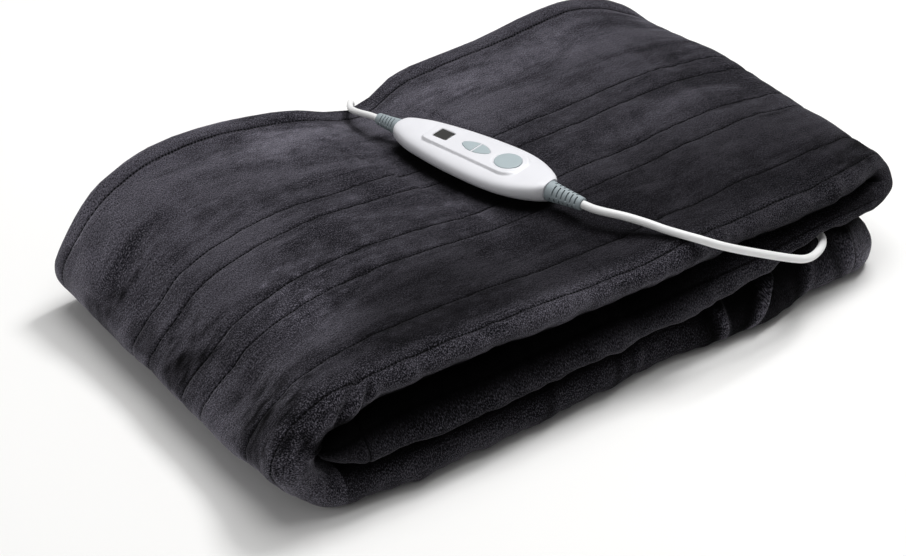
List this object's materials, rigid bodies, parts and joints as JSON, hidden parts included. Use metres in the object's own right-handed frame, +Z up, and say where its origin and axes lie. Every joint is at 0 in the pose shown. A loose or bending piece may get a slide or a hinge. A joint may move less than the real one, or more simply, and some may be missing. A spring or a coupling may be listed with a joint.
{
  "type": "electric heated blanket",
  "caption": "Folded plush electric throw with a hand controller on top, a lead into its folds and a coiled mains lead with a plug.",
  "frame": {"origin": "on the floor, under the middle of the folded blanket", "axes": "+X along the long folds to the end where the lead goes in, +Y to the hemmed far edge, +Z up"},
  "size_m": [0.5516, 0.4121, 0.1135],
  "materials": {
    "plush": "short brushed pile, matt",
    "housing": "satin",
    "key": "soft touch",
    "display": "dark window",
    "relief": "ribbed, satin",
    "lead": "smooth sheath",
    "plug": "satin",
    "pin": "bright"
  },
  "bodies": {
    "pack": {"blanket": "plush", "housing": "housing", "display": "display", "relief_blanket": "relief", "relief_mains": "relief", "blanket_lead": "lead", "mains_lead": "lead", "mains_tail": "lead", "mains_coil": "lead", "plug_body": "plug", "plug_pin_near": "pin", "plug_pin_far": "pin"},
    "lower_key": {"key_lower": "key"},
    "raise_key": {"key_raise": "key"},
    "power_key": {"key_power": "key"}
  },
  "joints": [
    {"name": "key_lower_press", "type": "slide", "parent": "pack", "child": "lower_key", "axis": [0.006, -0.0219, -0.9997], "range_m": [0, 0.0008], "stiffness_N_per_m": 1200},
    {"name": "key_raise_press", "type": "slide", "parent": "pack", "child": "raise_key", "axis": [0.006, -0.0219, -0.9997], "range_m": [0, 0.0008], "stiffness_N_per_m": 1200},
    {"name": "key_power_press", "type": "slide", "parent": "pack", "child": "power_key", "axis": [0.006, -0.0219, -0.9997], "range_m": [0, 0.0008], "stiffness_N_per_m": 1200}
  ]
}
